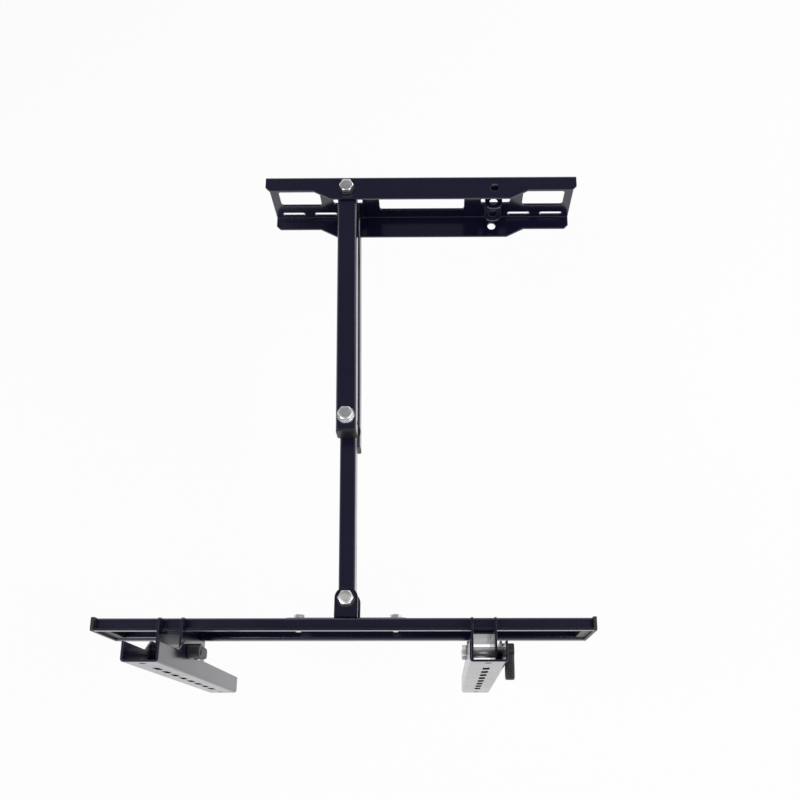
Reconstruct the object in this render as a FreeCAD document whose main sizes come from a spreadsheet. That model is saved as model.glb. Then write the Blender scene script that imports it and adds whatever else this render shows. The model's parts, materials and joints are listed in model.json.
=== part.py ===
"""A full-motion television wall mount: folded wall plate, two-tube rear arm, single-tube front arm,
swivelling head with a long hook rail, and two tilting screen brackets with clamp levers.

Frame: millimetres, +Z up, +X to the right seen from the room, +Y into the wall.
The origin is the middle of the wall plate's back face, so the wall is the plane y = 0.
"""
import FreeCAD, Part
import math
import os
import re
import Sketcher

SIZES = {
    # wall plate, a folded channel
    "plate_wide": 463, "plate_tall": 106, "plate_sheet": 3, "fold_radius": 1.5,
    "flange_deep": 38, "flange_end_deep": 24, "flange_mid_half": 134, "flange_taper": 27,
    "flange_corner": 6,
    "window_corner": 4, "mid_window_half": 66, "mid_window_tall": 60,
    "inner_window_start": 92, "inner_window_end": 137, "inner_window_tall": 28,
    "outer_window_start": 156, "outer_window_end": 219, "outer_window_tall": 36,
    "lag_outer": 203.2, "lag_inner": 152.4, "lag_rise": 41, "lag_slot_long": 36, "lag_slot_wide": 9,
    "level_hole_out": 79, "level_hole_radius": 2.5,
    # pivots
    "station_out": 110, "pivot_deep": 20, "pin_radius": 6, "pin_slack": 0.25, "run_slack": 0.05,
    "hex_across": 18.5, "hex_tall": 7.5, "nut_tall": 10, "thread_past": 3, "hex_chamfer": 1.2,
    "washer_radius": 12, "washer_thick": 2.5,
    "lug_thick": 3, "lug_wide": 26, "lug_past": 12,
    # rear arm, two tubes one above the other
    "rear_wide": 28, "rear_tall": 30, "rear_wall": 2, "rear_corner": 4, "rear_reach": 360, "rear_tail": 20,
    "rear_yaw": 1.25, "bush_flange": 1, "bush_radius": 8, "bush_flange_radius": 12, "spacer_radius": 9,
    "plug_face": 3, "plug_deep": 9, "plug_slack": 0.2,
    # front arm, one tube between the rear tubes
    "front_wide": 22, "front_tall": 35, "front_wall": 2, "front_corner": 3.5, "front_reach": 250,
    "front_yaw": 1.1, "elbow_flange": 1.5, "elbow_flange_radius": 15,
    # head: swivel bracket and hook rail
    "ear_wide": 31, "ear_past": 15.5, "swivel_sheet": 4, "swivel_fold": 2, "swivel_wing": 82,
    "swivel_wing_tall": 34,
    "rail_gap": 28, "rail_wide": 642, "rail_tall": 84, "rail_deep": 18, "rail_sheet": 3, "rail_lip": 10,
    "rail_bolt_out": 65, "rail_bolt_radius": 4, "rail_hex_across": 13, "rail_hex_tall": 6.4,
    "rail_nut_tall": 6.5, "cap_thick": 4, "cap_deep": 12, "cap_slack": 0.3, "cap_corner": 2.5,
    # tilt adapters that hang on the rail
    "left_out": 220, "right_out": 180, "adapter_wide": 33, "adapter_sheet": 3, "hook_slack": 0.4,
    "hook_tall": 8, "hook_reach": 13, "hook_corner": 5, "adapter_front": 43, "adapter_low_front": 34,
    "adapter_low": 8, "tab_back": 15, "screw_radius": 3, "screw_back": 9, "screw_rise": 15,
    "screw_head_radius": 5.5, "screw_head_tall": 4,
    # screen brackets and their tilt
    "tilt_out": 71, "tilt_pin_radius": 4, "lock_rise": 46, "lock_radius": 4, "lock_travel": 12,
    "lock_slack": 0.3,
    "bracket_wide": 44, "bracket_sheet": 2.5, "bracket_fold": 1.5, "bracket_face": 28, "bracket_flange": 24,
    "bracket_top": 171, "bracket_low": 259, "bracket_middle": 44, "ear_back": 10, "ear_top": 64,
    "ear_low": 18, "ear_slope": 22, "screen_hole_rise": 200, "screen_hole_radius": 4.25,
    "screen_slot_step": 40, "screen_slot_long": 26, "screen_slot_wide": 8.5,
    "tilt_washer_radius": 10, "tilt_washer_gap": 0.1, "small_across": 13, "small_tall": 5.5,
    # clamp levers
    "lever_gap": 0.3, "lever_hub_radius": 9, "lever_hub_long": 16, "lever_reach": 37, "lever_thick": 12,
    "lever_tip": 7, "lever_bore_deep": 12,
}

doc = FreeCAD.newDocument("wall_mount")
sheet = doc.addObject("Spreadsheet::Sheet", "sizes")
for row, (name, size) in enumerate(SIZES.items(), start=1):
    sheet.set("A%d" % row, name)
    sheet.set("B%d" % row, str(size))
    sheet.setAlias("B%d" % row, name)
doc.recompute()

NAMES = re.compile(r"\b(%s)\b" % "|".join(SIZES))
PARTS = []


def cell(text):
    """An expression in the sheet's names, with each name pointed at its cell."""
    return NAMES.sub(r"sizes.\1", str(text))


def value(text):
    """The number that such an expression has now."""
    return float(sheet.evalExpression(cell(text)))


def fix(sketch, kind, *place):
    """Adds a dimension whose last item is an expression, and binds it to the sheet."""
    index = sketch.addConstraint(Sketcher.Constraint(kind, *place[:-1], value(place[-1])))
    sketch.setExpression("Constraints[%d]" % index, cell(place[-1]))


def pin(sketch, geometry, position, x, y):
    """Holds a point of a sketch at x, y from the sketch's origin."""
    fix(sketch, "DistanceX", -1, 1, geometry, position, x)
    fix(sketch, "DistanceY", -1, 1, geometry, position, y)


def add_arc(sketch, first, middle, last):
    """An arc through three places, and which of its ends are the first and the last of them."""
    centre = Part.Circle(first, middle, last).Center
    angles = [math.atan2(place.y - centre.y, place.x - centre.x) for place in (first, last)]
    leftward = (first - centre).cross(middle - centre).z > 0
    begin, end = angles if leftward else reversed(angles)
    whole = Part.Circle(centre, FreeCAD.Vector(0, 0, 1), (first - centre).Length)
    arc = sketch.addGeometry(Part.ArcOfCircle(whole, begin, end if end > begin else end + 2 * math.pi))
    return (arc, 1, 2) if leftward else (arc, 2, 1)


def outline(sketch, corners):
    """A closed outline through corners (x, y) or (x, y, radius), the radius as a tangent arc."""
    places = [FreeCAD.Vector(value(corner[0]), value(corner[1]), 0) for corner in corners]
    radii = [value(corner[2]) if len(corner) > 2 else 0 for corner in corners]
    count = len(corners)
    begins, ends, middles = [], [], []
    for i, place in enumerate(places):
        back = (places[i - 1] - place).normalize()
        ahead = (places[(i + 1) % count] - place).normalize()
        half = back.getAngle(ahead) / 2
        ends.append(place + back * (radii[i] / math.tan(half)))
        begins.append(place + ahead * (radii[i] / math.tan(half)))
        middles.append(place + (back + ahead).normalize() * (radii[i] / math.sin(half) - radii[i]))
    lines = [sketch.addGeometry(Part.LineSegment(begins[i], ends[(i + 1) % count])) for i in range(count)]
    for i, corner in enumerate(corners):
        into, out = lines[i - 1], lines[i]
        if not radii[i]:
            sketch.addConstraint(Sketcher.Constraint("Coincident", into, 2, out, 1))
            pin(sketch, out, 1, corner[0], corner[1])
            continue
        arc, first, last = add_arc(sketch, ends[i], middles[i], begins[i])
        sketch.addConstraint(Sketcher.Constraint("Tangent", into, 2, arc, first))
        sketch.addConstraint(Sketcher.Constraint("Tangent", out, 1, arc, last))
        fix(sketch, "Radius", arc, corner[2])
        apex = sketch.addGeometry(Part.Point(places[i]), True)
        sketch.addConstraint(Sketcher.Constraint("PointOnObject", apex, 1, into))
        sketch.addConstraint(Sketcher.Constraint("PointOnObject", apex, 1, out))
        pin(sketch, apex, 1, corner[0], corner[1])


def circle(sketch, x, y, radius):
    """A circle at x, y."""
    round_one = Part.Circle(FreeCAD.Vector(value(x), value(y), 0), FreeCAD.Vector(0, 0, 1), value(radius))
    index = sketch.addGeometry(round_one)
    fix(sketch, "Radius", index, radius)
    pin(sketch, index, 3, x, y)


def box(sketch, x0, x1, y0, y1, radius=None):
    """A rectangle from x0, y0 to x1, y1, with rounded corners where a radius is given."""
    tail = () if radius is None else (radius,)
    outline(sketch, [(x0, y0) + tail, (x1, y0) + tail, (x1, y1) + tail, (x0, y1) + tail])


def slot(sketch, x, y, long, wide, upright=False):
    """A round-ended slot about x, y: two half circles joined by straight sides."""
    reach = "((%s) - (%s)) / 2" % (long, wide)
    radius = "(%s) / 2" % wide
    run = FreeCAD.Vector(0, value(reach), 0) if upright else FreeCAD.Vector(value(reach), 0, 0)
    side = FreeCAD.Vector(value(radius), 0, 0) if upright else FreeCAD.Vector(0, value(radius), 0)
    middle = FreeCAD.Vector(value(x), value(y), 0)
    tip = run * (1 + value(radius) / run.Length)
    rounds = [add_arc(sketch, middle + run * way + side, middle + tip * way, middle + run * way - side)
              for way in (1, -1)]
    for sign, choice in ((1, 1), (-1, 2)):
        edge = sketch.addGeometry(Part.LineSegment(middle + run + side * sign, middle - run + side * sign))
        for end, arc in enumerate(rounds, start=1):
            sketch.addConstraint(Sketcher.Constraint("Tangent", edge, end, arc[0], arc[choice]))
    fix(sketch, "Radius", rounds[0][0], radius)
    for (arc, _, _), sign in zip(rounds, "+-"):
        along = "%s %s %s" % (y if upright else x, sign, reach)
        pin(sketch, arc, 3, *((x, along) if upright else (along, y)))


def hexagon(sketch, across):
    """A six-sided outline about the sketch's origin, given across its flats."""
    corner = "((%s) / sqrt(3))" % across
    outline(sketch, [("%s * cos(%d deg)" % (corner, turn), "%s * sin(%d deg)" % (corner, turn))
                     for turn in range(0, 360, 60)])


class Piece:
    """One sub-part: a PartDesign body built up from sketches on its own planes."""

    def __init__(self, label, place=("0", "0", "0"), axis=None, turn="0"):
        self.body = doc.addObject("PartDesign::Body", label)
        self.body.Label = label
        PARTS.append(self.body)
        if axis:
            self.body.Placement.Rotation = FreeCAD.Rotation(FreeCAD.Vector(*axis), 1)
            self.body.setExpression("Placement.Rotation.Angle", cell("(%s) * 1 deg" % turn))
        for letter, text in zip("xyz", place):
            self.body.setExpression("Placement.Base." + letter, cell(text))

    def sketch(self, plane, height="0"):
        """A sketch on the XY, XZ or YZ plane, raised by a height along that plane's normal."""
        made = self.body.newObject("Sketcher::SketchObject", self.body.Name + "_sketch")
        origin = [item for item in self.body.Origin.OriginFeatures if item.Role == plane + "_Plane"]
        made.AttachmentSupport = (origin[0], "")
        made.MapMode = "FlatFace"
        made.setExpression("AttachmentOffset.Base.z", cell(height))
        return made

    def pad(self, sketch, length, middle=False, down=False):
        """Material over a sketch, to one side of it or shared between both."""
        made = self.body.newObject("PartDesign::Pad", self.body.Name + "_pad")
        made.Profile = sketch
        made.setExpression("Length", cell(length))
        made.Midplane = middle
        made.Reversed = down
        doc.recompute()
        return made

    def pocket(self, sketch):
        """A cut right through, both ways from the sketch."""
        before = self.body.Shape.Volume
        made = self.body.newObject("PartDesign::Pocket", self.body.Name + "_pocket")
        made.Profile = sketch
        made.Type = "ThroughAll"
        made.Midplane = True
        doc.recompute()
        if not self.body.Shape.Volume < before:
            raise RuntimeError(self.body.Label + ": a cut took nothing away")

    def groove(self, sketch, angle):
        """A cut swept about the sketch's own horizontal axis, shared between both sides."""
        made = self.body.newObject("PartDesign::Groove", self.body.Name + "_groove")
        made.Profile = sketch
        made.ReferenceAxis = (sketch, ["H_Axis"])
        made.setExpression("Angle", cell("(%s) * 1 deg" % angle))
        made.Midplane = True
        doc.recompute()


# Places that several pieces share
HALF_TALL = "(plate_tall / 2)"
WALL_PIVOT = ("-station_out", "-pivot_deep")
ELBOW = ("(-station_out + rear_reach * sin(rear_yaw * 1 deg))",
         "(-pivot_deep - rear_reach * cos(rear_yaw * 1 deg))")
HEAD_PIVOT = ("(%s + front_reach * sin(front_yaw * 1 deg))" % ELBOW[0],
              "(%s - front_reach * cos(front_yaw * 1 deg))" % ELBOW[1])
REAR_TOP = "(%s - plate_sheet - bush_flange)" % HALF_TALL
REAR_UNDER = "(%s - rear_tall)" % REAR_TOP
LUG_TOP = "(%s - bush_flange)" % REAR_UNDER
EAR_INSIDE = "(front_tall / 2 + elbow_flange)"
EAR_OUTSIDE = "(%s + swivel_sheet)" % EAR_INSIDE
LIP_TOP = "(rail_tall / 2 + rail_lip)"
LIP_FRONT = "(rail_gap + rail_deep)"
BASE_BACK = "(%s + hook_slack)" % LIP_FRONT
TAB_LOW = "(%s + adapter_low)" % LIP_TOP
HEAD_X, HEAD_Y = HEAD_PIVOT


def wall_plate():
    """One sheet folded into a channel: web to the wall, flanges top and bottom, windows and slots."""
    piece = Piece("wall_plate")
    outer = "(fold_radius + plate_sheet)"
    inside = "(%s - plate_sheet)" % HALF_TALL
    section = piece.sketch("YZ")
    outline(section, [
        ("0", "-" + HALF_TALL, outer), ("0", HALF_TALL, outer),
        ("-flange_deep", HALF_TALL), ("-flange_deep", inside),
        ("-plate_sheet", inside, "fold_radius"), ("-plate_sheet", "-" + inside, "fold_radius"),
        ("-flange_deep", "-" + inside), ("-flange_deep", "-" + HALF_TALL)])
    piece.pad(section, "plate_wide", middle=True)
    ends = piece.sketch("XY")
    for side in ("", "-"):
        far = side + "(plate_wide / 2 + plate_sheet)"
        past = "-(flange_deep + plate_sheet)"
        outline(ends, [
            (side + "flange_mid_half", past), (side + "flange_mid_half", "-flange_deep"),
            (side + "(flange_mid_half + flange_taper)", "-flange_end_deep"),
            (side + "(plate_wide / 2 - flange_corner)", "-flange_end_deep"),
            (side + "(plate_wide / 2)", "-(flange_end_deep - flange_corner)"),
            (far, "-(flange_end_deep - flange_corner)"), (far, past)])
    piece.pocket(ends)
    windows = piece.sketch("XZ")
    box(windows, "-mid_window_half", "mid_window_half", "-mid_window_tall / 2", "mid_window_tall / 2",
        "window_corner")
    for ring in ("inner", "outer"):
        tall = ring + "_window_tall / 2"
        start, end = ring + "_window_start", ring + "_window_end"
        box(windows, start, end, "-" + tall, tall, "window_corner")
        box(windows, "-" + end, "-" + start, "-" + tall, tall, "window_corner")
    for side in ("", "-"):
        for rise in ("", "-"):
            for place in ("lag_outer", "lag_inner"):
                slot(windows, side + place, rise + "lag_rise", "lag_slot_long", "lag_slot_wide")
        circle(windows, side + "level_hole_out", "0", "level_hole_radius")
    piece.pocket(windows)
    holes = piece.sketch("XY")
    for side in ("", "-"):
        circle(holes, side + "station_out", "-pivot_deep", "pin_radius + pin_slack")
    piece.pocket(holes)


def pivot_lug(label, side, top):
    """A round-cornered lug welded to the web, with the pivot hole."""
    piece = Piece(label, (side + "station_out", "0", top))
    tongue = piece.sketch("XY")
    half = "lug_wide / 2"
    front = "-(pivot_deep + lug_past)"
    outline(tongue, [(half, "-plate_sheet"), (half, front, "lug_wide * 0.4"),
                     ("-" + half, front, "lug_wide * 0.4"), ("-" + half, "-plate_sheet")])
    circle(tongue, "0", "-pivot_deep", "pin_radius + pin_slack")
    piece.pad(tongue, "lug_thick", down=True)


def hex_bolt(label, place, across, tall, radius, grip, axis=None, turn="0"):
    """A hexagon head over a plain shank: the head stands above its seat and the shank hangs below."""
    piece = Piece(label, place, axis, turn)
    head = piece.sketch("XY")
    hexagon(head, across)
    piece.pad(head, tall)
    shank = piece.sketch("XY")
    circle(shank, "0", "0", radius)
    piece.pad(shank, grip, down=True)
    crown = piece.sketch("XZ")
    rim = "((%s) / sqrt(3) + hex_chamfer)" % across
    outline(crown, [("(%s) / 2" % across, tall), (rim, tall), (rim, "(%s) - hex_chamfer" % tall)])
    turned = piece.body.newObject("PartDesign::Groove", label + "_crown")
    turned.Profile = crown
    turned.ReferenceAxis = (crown, ["V_Axis"])
    turned.Angle = 360
    doc.recompute()


def ring(label, place, outer, bore, tall, across=None, axis=None, turn="0"):
    """A flat ring hanging below its seat: a washer, or a nut where a size across flats is given."""
    piece = Piece(label, place, axis, turn)
    flat = piece.sketch("XY")
    if across:
        hexagon(flat, across)
    else:
        circle(flat, "0", "0", outer)
    circle(flat, "0", "0", bore)
    piece.pad(flat, tall, down=True)


def flanged_bush(label, place, flange_radius, flange_tall, barrel, over):
    """A nylon bush: a thin flange outside the tube, and a barrel through the tube's wall."""
    piece = Piece(label, place)
    bore = "pin_radius + run_slack"
    flange = piece.sketch("XY")
    circle(flange, "0", "0", flange_radius)
    circle(flange, "0", "0", bore)
    piece.pad(flange, flange_tall, down=not over)
    sleeve = piece.sketch("XY")
    circle(sleeve, "0", "0", "bush_radius")
    circle(sleeve, "0", "0", bore)
    piece.pad(sleeve, barrel, down=over)


def arm_tube(label, place, yaw, form, start, run, round_far):
    """A rectangular tube along -Y from its pivot, its pivot ends rounded in plan, bored for both pins."""
    piece = Piece(label, place, (0, 0, 1), yaw)
    wide, tall, wall = form + "_wide", form + "_tall", form + "_wall"
    corner, reach = form + "_corner", form + "_reach"
    section = piece.sketch("XZ", "-(%s)" % start)
    for inset in ("0", wall):
        half = "(%s / 2 - %s)" % (wide, inset)
        rise = "(%s / 2 - %s)" % (tall, inset)
        box(section, "-" + half, half, "-" + rise, rise, "%s - %s" % (corner, inset))
    piece.pad(section, run)
    rounding = "%s * 0.46" % wide
    clear = "(%s / 2 + %s)" % (wide, wall)
    ends = [("0", "")] + ([("-" + reach, "-")] if round_far else [])
    for middle, way in ends:
        plan = piece.sketch("XY")
        edge = "%s %s%s / 2" % (middle, way or "+ ", wide)
        past = "%s %s%s" % (middle, way or "+ ", clear)
        half = wide + " / 2"
        outline(plan, [("-" + clear, past), ("-" + clear, middle), ("-" + half, middle),
                       ("-" + half, edge, rounding), (half, edge, rounding), (half, middle),
                       (clear, middle), (clear, past)])
        piece.pocket(plan)
    bores = piece.sketch("XY")
    bushed = "bush_radius + run_slack"
    circle(bores, "0", "0", bushed)
    circle(bores, "0", "-" + reach, bushed if round_far else "pin_radius + pin_slack")
    piece.pocket(bores)


def rear_plug(label, height):
    """A moulded plug in a rear tube's square end: a face the size of the tube and a tongue inside it."""
    tail = "(rear_reach + rear_tail)"
    piece = Piece(label, WALL_PIVOT + (height,), (0, 0, 1), "rear_yaw")
    face = piece.sketch("XZ", tail)
    box(face, "-rear_wide / 2", "rear_wide / 2", "-rear_tall / 2", "rear_tall / 2", "rear_corner")
    piece.pad(face, "plug_face")
    tongue = piece.sketch("XZ", tail)
    wide = "(rear_wide / 2 - rear_wall - plug_slack)"
    tall = "(rear_tall / 2 - rear_wall - plug_slack)"
    box(tongue, "-" + wide, wide, "-" + tall, tall, "rear_corner - rear_wall")
    piece.pad(tongue, "plug_deep", down=True)


def swivel_bracket():
    """The head's yoke: two ears about the front tube, folded from one sheet with wings behind the rail."""
    piece = Piece("swivel_bracket", (HEAD_X, HEAD_Y, "0"))
    seat = "-rail_gap"
    front = "-(rail_gap - swivel_sheet)"
    yoke = piece.sketch("YZ")
    outer = "(swivel_fold + swivel_sheet)"
    outline(yoke, [
        (seat, "-" + EAR_OUTSIDE, outer), ("ear_past", "-" + EAR_OUTSIDE), ("ear_past", "-" + EAR_INSIDE),
        (front, "-" + EAR_INSIDE, "swivel_fold"), (front, EAR_INSIDE, "swivel_fold"),
        ("ear_past", EAR_INSIDE), ("ear_past", EAR_OUTSIDE), (seat, EAR_OUTSIDE, outer)])
    piece.pad(yoke, "ear_wide", middle=True)
    wings = piece.sketch("XZ", "rail_gap - swivel_sheet")
    rise = "swivel_wing_tall / 2"
    box(wings, "-swivel_wing", "swivel_wing", "-" + rise, rise, "swivel_wing_tall / 4")
    piece.pad(wings, "swivel_sheet")
    plan = piece.sketch("XY")
    half, clear = "(ear_wide / 2)", "(ear_wide / 2 + swivel_sheet)"
    past = "(ear_past + swivel_sheet)"
    outline(plan, [("-" + clear, past), ("-" + clear, "0"), ("-" + half, "0"),
                   ("-" + half, "ear_past", "ear_wide * 0.45"), (half, "ear_past", "ear_wide * 0.45"),
                   (half, "0"), (clear, "0"), (clear, past)])
    piece.pocket(plan)
    bore = piece.sketch("XY")
    circle(bore, "0", "0", "pin_radius + pin_slack")
    piece.pocket(bore)
    bolts = piece.sketch("XZ")
    for side in ("", "-"):
        circle(bolts, side + "rail_bolt_out", "0", "rail_bolt_radius + pin_slack")
    piece.pocket(bolts)


def head_rail():
    """The long rail: a channel whose flanges turn up and down into hook lips at the front."""
    piece = Piece("head_rail", (HEAD_X, HEAD_Y, "0"))
    half, inner = "(rail_tall / 2)", "(rail_tall / 2 - rail_sheet)"
    back, web = "-rail_gap", "-(rail_gap + rail_sheet)"
    front, behind = "-" + LIP_FRONT, "-(%s - rail_sheet)" % LIP_FRONT
    outer = "(fold_radius + rail_sheet)"
    section = piece.sketch("YZ")
    outline(section, [
        (back, "-" + half, outer), (back, half, outer), (behind, half, "fold_radius"), (behind, LIP_TOP),
        (front, LIP_TOP), (front, inner, outer),
        (web, inner, "fold_radius"), (web, "-" + inner, "fold_radius"),
        (front, "-" + inner, outer), (front, "-" + LIP_TOP), (behind, "-" + LIP_TOP),
        (behind, "-" + half, "fold_radius")])
    piece.pad(section, "rail_wide", middle=True)
    bolts = piece.sketch("XZ")
    for side in ("", "-"):
        circle(bolts, side + "rail_bolt_out", "0", "rail_bolt_radius + pin_slack")
    piece.pocket(bolts)


def rail_cap(label, side):
    """A moulded end cap: a plate over the rail's end section and a tongue between its flanges."""
    piece = Piece(label, ("%s %s rail_wide / 2" % (HEAD_X, side), HEAD_Y, "0"))
    inward = side == "+"
    plate = piece.sketch("YZ")
    box(plate, "-" + LIP_FRONT, "-rail_gap", "-" + LIP_TOP, LIP_TOP, "cap_corner")
    piece.pad(plate, "cap_thick", down=not inward)
    tongue = piece.sketch("YZ")
    rise = "(rail_tall / 2 - rail_sheet - cap_slack)"
    front, back = "-(%s - rail_sheet)" % LIP_FRONT, "-(rail_gap + rail_sheet + cap_slack)"
    box(tongue, front, back, "-" + rise, rise, "cap_corner")
    piece.pad(tongue, "cap_deep", down=inward)


def tilt_adapter(label, place):
    """A folded hanger: its cheeks hook over the rail's top lip and carry the tilt pin and an arc slot."""
    piece = Piece(label, place)
    half = "(adapter_wide / 2)"
    base_back, base_front = "-" + BASE_BACK, "-(%s + adapter_sheet)" % BASE_BACK
    behind = "-(%s - rail_sheet - hook_slack)" % LIP_FRONT
    notch = "(%s + hook_slack)" % LIP_TOP
    tip = "-(%s - rail_sheet - hook_slack - hook_reach)" % LIP_FRONT
    crest = "(%s + hook_tall)" % LIP_TOP
    floor = "(rail_tall / 2 + fold_radius + hook_slack)"
    base = piece.sketch("YZ")
    box(base, base_front, base_back, "-" + TAB_LOW, "rail_tall / 2")
    piece.pad(base, "adapter_wide", middle=True)
    tab = piece.sketch("YZ")
    box(tab, base_front, "-(%s - tab_back)" % BASE_BACK, "-" + TAB_LOW, "-(%s - adapter_sheet)" % TAB_LOW)
    piece.pad(tab, "adapter_wide", middle=True)
    high_front = "-(%s + adapter_front)" % BASE_BACK
    for height, down in (("-" + half, False), (half, True)):
        cheek = piece.sketch("YZ", height)
        outline(cheek, [
            (base_back, "-" + TAB_LOW), (base_back, notch), (behind, notch), (behind, floor), (tip, floor),
            (tip, crest, "hook_corner"), ("%s + hook_corner" % high_front, crest, "hook_corner"),
            (high_front, "lock_rise"), (high_front, "lock_radius"),
            ("-(%s + adapter_low_front)" % BASE_BACK, "-" + TAB_LOW, "hook_corner")])
        piece.pad(cheek, "adapter_sheet", down=down)
    arc = piece.sketch("XZ", "tilt_out")
    reach = "(adapter_wide / 2 + adapter_sheet)"
    wide = "(lock_radius + lock_slack)"
    box(arc, "-" + reach, reach, "lock_rise - " + wide, "lock_rise + " + wide)
    piece.groove(arc, "2 * lock_travel")
    holes = piece.sketch("YZ")
    circle(holes, "-tilt_out", "0", "tilt_pin_radius + run_slack")
    piece.pocket(holes)
    for way in ("-", "+"):
        end = piece.sketch("YZ")
        circle(end, "-tilt_out %s lock_rise * sin(lock_travel * 1 deg)" % way,
               "lock_rise * cos(lock_travel * 1 deg)", wide)
        piece.pocket(end)
    bore = piece.sketch("XY", "-" + TAB_LOW)
    circle(bore, "0", "-(%s - screw_back)" % BASE_BACK, "screw_radius + pin_slack")
    piece.pocket(bore)


def safety_screw(label, place):
    """A thumb screw up through the hanger's tab, its tip behind the rail's lower lip."""
    x, y, z = place
    piece = Piece(label, (x, "%s - (%s - screw_back)" % (y, BASE_BACK), "-" + TAB_LOW))
    head = piece.sketch("XY")
    circle(head, "0", "0", "screw_head_radius")
    piece.pad(head, "screw_head_tall", down=True)
    shank = piece.sketch("XY")
    circle(shank, "0", "0", "screw_radius")
    piece.pad(shank, "screw_rise")


def screen_bracket(label, place):
    """A tall folded channel that bolts to the screen, with deep ears at its tilt pin and clamp bolt."""
    piece = Piece(label, place)
    half, inner = "(bracket_wide / 2)", "(bracket_wide / 2 - bracket_sheet)"
    face = "-(tilt_out + bracket_face)"
    inside = "-(tilt_out + bracket_face - bracket_sheet)"
    deep = "-(tilt_out - ear_back)"
    shallow = "-(tilt_out + bracket_face - bracket_flange)"
    outer = "(bracket_fold + bracket_sheet)"
    section = piece.sketch("XY", "-bracket_low")
    outline(section, [
        ("-" + half, face, outer), (half, face, outer), (half, deep), (inner, deep),
        (inner, inside, "bracket_fold"), ("-" + inner, inside, "bracket_fold"),
        ("-" + inner, deep), ("-" + half, deep)])
    piece.pad(section, "bracket_low + bracket_top")
    trim = piece.sketch("YZ")
    past = "-(tilt_out - ear_back - bracket_sheet)"
    for near, slope, far in (("ear_top", "ear_top + ear_slope", "bracket_top + bracket_sheet"),
                             ("-ear_low", "-ear_low - ear_slope", "-bracket_low - bracket_sheet")):
        outline(trim, [(past, near), (deep, near), (shallow, slope), (shallow, far), (past, far)])
    piece.pocket(trim)
    pins = piece.sketch("YZ")
    circle(pins, "-tilt_out", "0", "tilt_pin_radius + run_slack")
    circle(pins, "-tilt_out", "lock_rise", "lock_radius + run_slack")
    piece.pocket(pins)
    slots = piece.sketch("XZ")
    for side in ("+", "-"):
        circle(slots, "0", "-bracket_middle %s screen_hole_rise" % side, "screen_hole_radius")
        for step in (0.5, 1.5, 2.5, 3.5):
            rise = "-bracket_middle %s %s * screen_slot_step" % (side, step)
            slot(slots, "0", rise, "screen_slot_long", "screen_slot_wide", upright=True)
    piece.pocket(slots)


def clamp_lever(label, place, turn):
    """A moulded clamp lever: a round hub over the clamp bolt's end and a tapering arm."""
    piece = Piece(label, place, (1, 0, 0), turn)
    hub = piece.sketch("YZ")
    circle(hub, "0", "0", "lever_hub_radius")
    piece.pad(hub, "lever_hub_long")
    arm = piece.sketch("YZ", "lever_hub_long - lever_thick")
    wide, tip = "lever_hub_radius * 0.9", "lever_tip"
    outline(arm, [("0", "-" + wide), ("0", wide), ("-lever_reach", tip, "lever_tip * 0.9"),
                  ("-lever_reach", "-" + tip, "lever_tip * 0.9")])
    piece.pad(arm, "lever_thick")
    bore = piece.sketch("YZ")
    circle(bore, "0", "0", "lock_radius + run_slack")
    made = piece.body.newObject("PartDesign::Pocket", label + "_bore")
    made.Profile = bore
    made.setExpression("Length", cell("lever_bore_deep"))
    made.Reversed = True
    before = piece.body.Shape.Volume
    doc.recompute()
    if not piece.body.Shape.Volume < before:
        raise RuntimeError(label + ": the bore took nothing away")


def build_wall():
    """The wall plate, its lugs at both stations and the pin at the station in use."""
    wall_plate()
    for hand, side in (("left", "-"), ("right", "")):
        pivot_lug(hand + "_upper_lug", side, LUG_TOP)
        pivot_lug(hand + "_lower_lug", side, "-(%s - lug_thick)" % LUG_TOP)
    seat = HALF_TALL
    ring("wall_pivot_washer", WALL_PIVOT + ("%s + washer_thick" % seat,), "washer_radius",
         "pin_radius + pin_slack", "washer_thick")
    hex_bolt("wall_pivot_bolt", WALL_PIVOT + ("%s + washer_thick" % seat,), "hex_across", "hex_tall",
             "pin_radius", "plate_tall + washer_thick + nut_tall + thread_past")
    ring("wall_pivot_nut", WALL_PIVOT + ("-" + seat,), None, "pin_radius + run_slack", "nut_tall",
         "hex_across")


def build_rear_arm():
    """Both rear tubes with their bushes, spacers, plugs and the elbow pin."""
    middle = "(%s - rear_tall / 2)" % REAR_TOP
    for level, sign in (("upper", ""), ("lower", "-")):
        height = sign + middle
        arm_tube(level + "_rear_tube", WALL_PIVOT + (height,), "rear_yaw", "rear", "rear_wide / 2",
                 "rear_wide / 2 + rear_reach + rear_tail", False)
        for face, half, over in (("top", "+", True), ("under", "-", False)):
            place = WALL_PIVOT + ("%s %s rear_tall / 2" % (height, half),)
            flanged_bush("%s_rear_%s_bush" % (level, face), place, "bush_flange_radius", "bush_flange",
                         "rear_tall / 2", over)
        ring(level + "_elbow_spacer", ELBOW + ("%s + rear_tall / 2 - rear_wall" % height,), "spacer_radius",
             "pin_radius + pin_slack", "rear_tall - 2 * rear_wall")
        rear_plug(level + "_rear_plug", height)
    ring("elbow_washer", ELBOW + (REAR_TOP + " + washer_thick",), "washer_radius", "pin_radius + pin_slack",
         "washer_thick")
    hex_bolt("elbow_bolt", ELBOW + (REAR_TOP + " + washer_thick",), "hex_across", "hex_tall", "pin_radius",
             "2 * %s + washer_thick + nut_tall + thread_past" % REAR_TOP)
    ring("elbow_nut", ELBOW + ("-" + REAR_TOP,), None, "pin_radius + run_slack", "nut_tall", "hex_across")


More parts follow.
